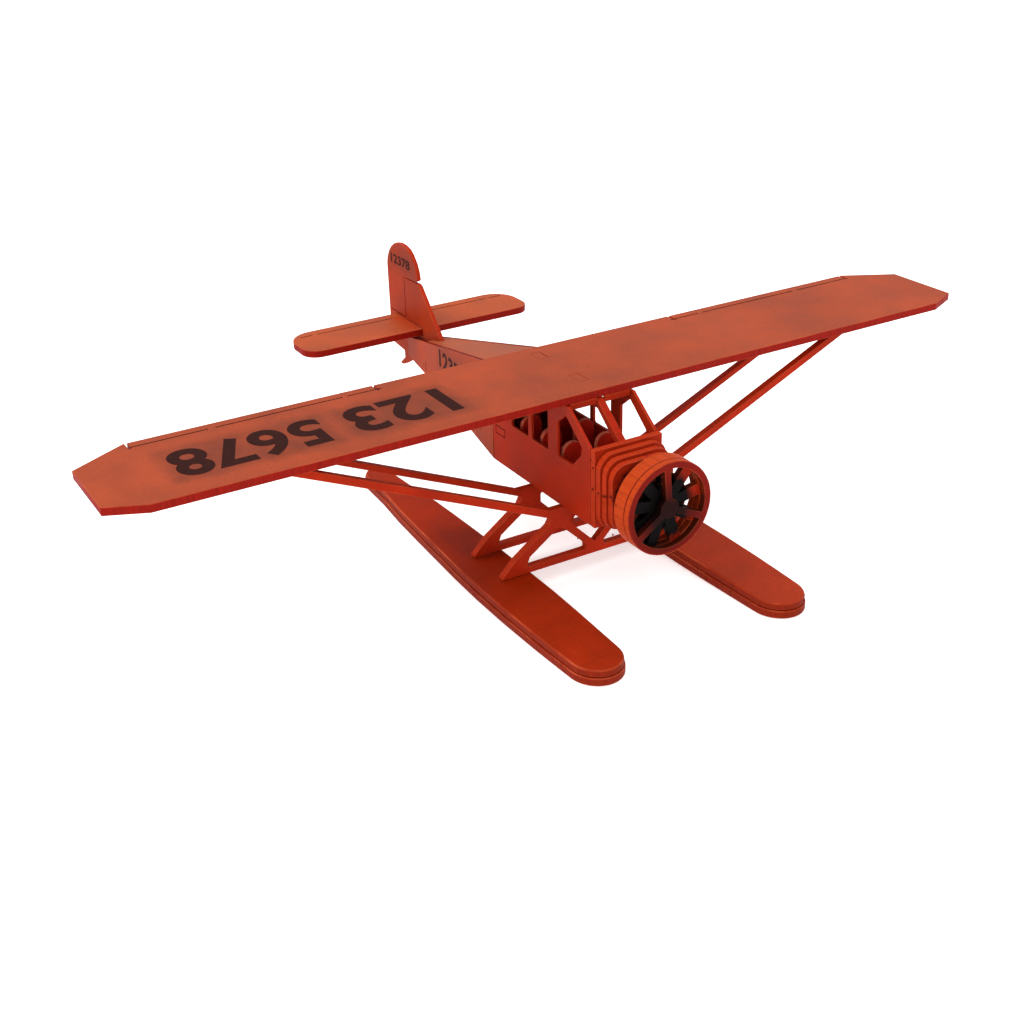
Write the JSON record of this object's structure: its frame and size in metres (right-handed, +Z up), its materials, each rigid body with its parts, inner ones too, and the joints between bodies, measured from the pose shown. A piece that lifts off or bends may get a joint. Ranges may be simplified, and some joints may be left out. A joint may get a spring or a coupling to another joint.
{
  "type": "laser-cut mdf model floatplane",
  "caption": "Painted laser-cut MDF kit model of a high-wing floatplane: flat sheet wing, slab fuselage with open windows, radial engine rings, strut trusses, layered floats and a cross tail",
  "frame": {"origin": "on the floor under the middle of the model's bounding box", "axes": "+X to the port wing tip, +Y towards the tail, +Z up; the nose looks towards -Y"},
  "size_m": [0.3, 0.1972, 0.0756],
  "materials": {
    "painted_mdf": "matte orange-red paint on MDF",
    "painted_mdf_shaded": "matte orange-red paint dulled with overspray, on MDF",
    "soot_black_mdf": "matte black paint on MDF"
  },
  "bodies": {
    "root": {"cabin_centre_frame": "painted_mdf", "cowl_ring_front": "painted_mdf", "cowl_ring_rear": "painted_mdf", "deck_rear": "painted_mdf", "engine_star": "soot_black_mdf", "fin": "painted_mdf", "float_lower_port": "painted_mdf", "float_lower_starboard": "painted_mdf", "float_upper_port": "painted_mdf", "float_upper_starboard": "painted_mdf", "floor_front": "painted_mdf", "floor_rear": "painted_mdf", "nose_block": "painted_mdf_shaded", "nose_frame_1": "painted_mdf", "nose_frame_2": "painted_mdf", "nose_frame_3": "painted_mdf", "nose_frame_4": "painted_mdf", "screen_header_port": "painted_mdf", "screen_header_starboard": "painted_mdf", "seats_front": "painted_mdf", "seats_middle": "painted_mdf", "seats_rear": "painted_mdf", "side_front_port": "painted_mdf", "side_front_starboard": "painted_mdf", "side_rear_port": "painted_mdf", "side_rear_starboard": "painted_mdf", "stabiliser": "painted_mdf", "truss_front": "painted_mdf", "truss_rear": "painted_mdf", "wing": "painted_mdf"}
  },
  "joints": []
}
